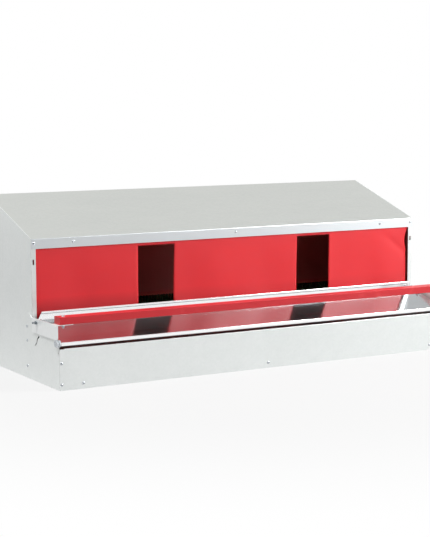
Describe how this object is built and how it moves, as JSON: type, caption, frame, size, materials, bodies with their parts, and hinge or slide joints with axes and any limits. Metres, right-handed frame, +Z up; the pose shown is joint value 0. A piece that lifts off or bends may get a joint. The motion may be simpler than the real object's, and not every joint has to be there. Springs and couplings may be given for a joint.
{
  "type": "roll out nest box",
  "caption": "Sheet steel laying nest box with a sloping roof, a split curtain, a sloping floor that rolls eggs into a lidded front tray, and a flip-up perch.",
  "frame": {"origin": "centre of the bounding box at the height of the base", "axes": "+X along the width, to the right as seen from the front; the front with the perch faces -Y; +Z up"},
  "size_m": [1.2542, 0.4646, 0.4622],
  "materials": {
    "galvanised_sheet": "galvanised sheet with a fine spangle",
    "zinc_plate": "bright zinc plate",
    "red_vinyl": "smooth soft vinyl sheet with a slight sheen",
    "red_painted_board": "satin red paint with light scuffs",
    "turf_mat": "matt moulded turf"
  },
  "bodies": {
    "cabinet": {"roof_panel": "galvanised_sheet", "left_side_panel": "galvanised_sheet", "right_side_panel": "galvanised_sheet", "back_panel": "galvanised_sheet", "bottom_pan": "galvanised_sheet", "front_panel": "galvanised_sheet", "left_tray_side": "galvanised_sheet", "right_tray_side": "galvanised_sheet", "left_floor_ledge": "galvanised_sheet", "right_floor_ledge": "galvanised_sheet", "nest_floor": "galvanised_sheet", "nest_pad": "turf_mat", "egg_tray": "galvanised_sheet", "curtain": "red_vinyl", "curtain_rail": "galvanised_sheet", "curtain_strip": "galvanised_sheet", "pivot_bolts": "zinc_plate", "lid_bushes": "zinc_plate", "arm_spacers": "zinc_plate", "pivot_washers": "zinc_plate", "pivot_nuts": "zinc_plate", "stop_bolts": "zinc_plate", "stop_nuts": "zinc_plate", "tray_rivets": "zinc_plate", "front_panel_screws": "zinc_plate", "roof_lip_screws": "zinc_plate", "rail_nuts": "zinc_plate", "back_rivets": "zinc_plate"},
    "lid": {"egg_tray_lid": "galvanised_sheet"},
    "perch": {"left_perch_arm": "galvanised_sheet", "right_perch_arm": "galvanised_sheet", "perch_board": "red_painted_board", "perch_bolts": "zinc_plate", "perch_washers": "zinc_plate", "perch_nuts": "zinc_plate"}
  },
  "joints": [
    {"name": "lid_lift", "type": "hinge", "parent": "cabinet", "child": "lid", "pos_m": [0, -0.10275, 0.155], "axis": [-1, 0, 0], "range_deg": [0, 90]},
    {"name": "perch_swing", "type": "hinge", "parent": "cabinet", "child": "perch", "pos_m": [0, -0.10275, 0.155], "axis": [-1, 0, 0], "range_deg": [0, 90]}
  ],
  "couplings": [
    {"joint": "perch_swing", "follows": "lid_lift", "ratio": 1}
  ]
}
